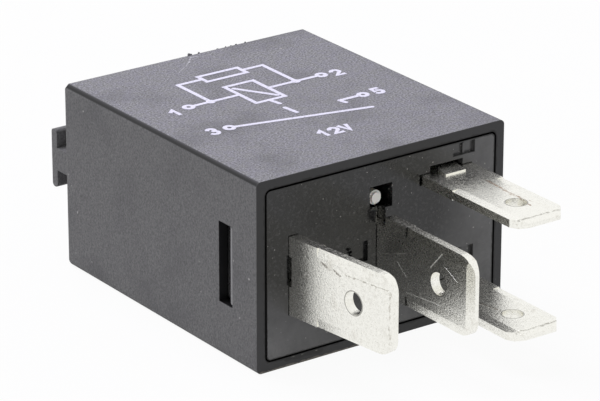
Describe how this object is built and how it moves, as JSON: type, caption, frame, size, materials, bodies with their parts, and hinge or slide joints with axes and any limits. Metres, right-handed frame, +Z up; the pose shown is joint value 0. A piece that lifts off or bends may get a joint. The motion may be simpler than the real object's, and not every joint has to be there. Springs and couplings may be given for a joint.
{
  "type": "automotive relay",
  "caption": "Plug-in automotive micro relay: latched moulded case with a bracket rail, flat blade terminals, and a coil that pulls a sprung armature to close a contact.",
  "frame": {"origin": "middle of the case's underside", "axes": "+Z up out of the printed side, -Y along the blades away from the case, X across the row of blades"},
  "size_m": [0.023, 0.0418, 0.0153],
  "materials": {
    "cover_plastic": "fine-grained black moulding",
    "base_plastic": "smooth black moulding",
    "tinned_blade": "tin-plated copper alloy, satin with light scratches",
    "silver_contact": "silver alloy, polished",
    "rivet_steel": "bright rivet",
    "zinc_plated_iron": "plated soft iron",
    "bobbin_plastic": "white moulding",
    "enamelled_copper": "enamelled copper wire",
    "resistor_body": "lacquered",
    "tinned_lead": "tinned copper wire",
    "spring_bronze": "rolled bronze strip",
    "print_ink": "white pad print"
  },
  "bodies": {
    "housing": {"cover": "cover_plastic", "base": "base_plastic", "terminal_1": "tinned_blade", "terminal_2": "tinned_blade", "terminal_3": "tinned_blade", "terminal_5": "tinned_blade", "fixed_contact": "silver_contact", "yoke_rivets": "rivet_steel", "yoke": "zinc_plated_iron", "core": "zinc_plated_iron", "bobbin": "bobbin_plastic", "winding": "enamelled_copper", "coil_lead_1": "enamelled_copper", "coil_lead_2": "enamelled_copper", "resistor": "resistor_body", "resistor_leads": "tinned_lead", "spring_rivets": "rivet_steel", "contact_spring": "spring_bronze", "printed_diagram": "print_ink"},
    "armature": {"armature": "zinc_plated_iron", "armature_rivets": "rivet_steel", "moving_contact": "silver_contact"}
  },
  "joints": [
    {"name": "armature_hinge", "type": "hinge", "parent": "housing", "child": "armature", "pos_m": [0.0082, 0.00903, 0.0076], "axis": [0, 0, 1], "range_deg": [0, 2.8], "stiffness_Nm_per_rad": 0.02, "springref_deg": -8.59, "deforming": ["contact_spring"]}
  ]
}
